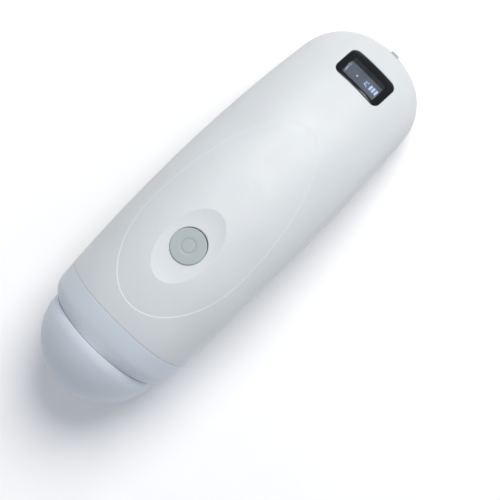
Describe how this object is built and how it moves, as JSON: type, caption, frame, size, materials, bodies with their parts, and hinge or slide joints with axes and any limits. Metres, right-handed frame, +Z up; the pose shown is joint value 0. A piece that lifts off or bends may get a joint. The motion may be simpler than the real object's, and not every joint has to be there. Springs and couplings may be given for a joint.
{
  "type": "handheld ultrasound scanner",
  "caption": "Handheld wireless ultrasound scanner: curved grip with thumb button and tail display, motor-driven sector head turning inside a domed nose.",
  "frame": {"origin": "centre of the footprint, on the surface that the tail heel and the dome rest on", "axes": "+X towards the domed nose, +Z up out of the side with the button and the display, +Y across the grip"},
  "size_m": [0.1952, 0.064, 0.0596],
  "materials": {
    "shell_white": "satin",
    "nose_blue": "satin",
    "seal_rubber": "matte",
    "soft_silicone": "matte",
    "button_grey": "satin",
    "lens_black": "gloss",
    "black_plastic": "matte",
    "panel_glass": "gloss",
    "board_green": "satin",
    "flex_amber": "satin",
    "steel": "satin",
    "brass": "satin",
    "aluminium_part": "satin",
    "grey_plastic": "matte",
    "gear_nylon": "satin",
    "battery_foil": "satin",
    "red_wire": "satin",
    "cable_grey": "satin",
    "piezo_ceramic": "matte",
    "magnet_grey": "satin"
  },
  "bodies": {
    "root": {"upper_shell": "shell_white", "lower_shell": "shell_white", "casing_seal": "seal_rubber", "nose_collar": "nose_blue", "collar_seal": "seal_rubber", "acoustic_dome": "nose_blue", "button_boot": "soft_silicone", "tactile_switch": "black_plastic", "button_board": "board_green", "button_flex": "flex_amber", "display_lens": "lens_black", "display_gasket": "black_plastic", "display_panel": "panel_glass", "display_flex": "flex_amber", "port_shroud": "grey_plastic", "charging_socket": "steel", "charge_board": "board_green", "charge_flex": "flex_amber", "battery": "battery_foil", "battery_tray": "grey_plastic", "battery_lead": "red_wire", "main_board": "board_green", "board_chips": "black_plastic", "shield_can": "steel", "wireless_module": "steel", "board_screws": "steel", "housing_screws": "steel", "thread_inserts": "brass", "screw_caps": "shell_white", "bulkhead": "aluminium_part", "bulkhead_screws": "steel", "chamber_seal": "seal_rubber", "fill_plug": "brass", "front_bearing": "steel", "rear_bearing": "steel", "shaft_seal": "seal_rubber", "rotation_motor": "steel", "motor_screws": "steel", "hall_sensor": "black_plastic", "transducer_cable": "cable_grey"},
    "button": {"scan_button": "button_grey"},
    "port_cover": {"port_cover": "soft_silicone"},
    "rotation_pinion": {"rotation_pinion": "brass"},
    "turntable": {"rotation_shaft": "steel", "rotation_gear": "gear_nylon", "turntable": "aluminium_part", "swing_bearings": "steel", "home_magnet": "magnet_grey", "swing_motor": "steel", "motor_strap": "steel", "strap_screws": "steel", "cradle_lead": "cable_grey"},
    "swing_pinion": {"swing_pinion": "brass"},
    "cradle": {"swing_shaft": "steel", "swing_gear": "gear_nylon", "transducer_cradle": "gear_nylon", "piezo_element": "piezo_ceramic", "matching_lens": "black_plastic"}
  },
  "joints": [
    {"name": "button_press", "type": "slide", "parent": "root", "child": "button", "axis": [0.1051, 0, -0.9945], "range_m": [0, 0.0008], "stiffness_N_per_m": 1500, "springref_m": -0.001, "deforming": ["button_boot"]},
    {"name": "port_cover_hinge", "type": "hinge", "parent": "root", "child": "port_cover", "pos_m": [-0.0966, 0, 0.0128], "axis": [0, 1, 0], "range_deg": [0, 110]},
    {"name": "turntable_turn", "type": "hinge", "parent": "root", "child": "turntable", "pos_m": [0.07055, 0, 0.0271], "axis": [0.9781, 0, -0.2079], "range_deg": [-90, 90]},
    {"name": "rotation_pinion_spin", "type": "hinge", "parent": "root", "child": "rotation_pinion", "pos_m": [0.03534, -0.01508, 0.03458], "axis": [0.9781, 0, -0.2079], "range_deg": [-362, 362]},
    {"name": "cradle_swing", "type": "hinge", "parent": "turntable", "child": "cradle", "pos_m": [0.07055, 0, 0.0271], "axis": [0, 1, 0], "range_deg": [-60, 60]},
    {"name": "swing_pinion_spin", "type": "hinge", "parent": "turntable", "child": "swing_pinion", "pos_m": [0.06042, 0, 0.02052], "axis": [0, 1, 0], "range_deg": [-182, 182]}
  ],
  "couplings": [
    {"joint": "rotation_pinion_spin", "follows": "turntable_turn", "ratio": -4},
    {"joint": "swing_pinion_spin", "follows": "cradle_swing", "ratio": -3}
  ]
}
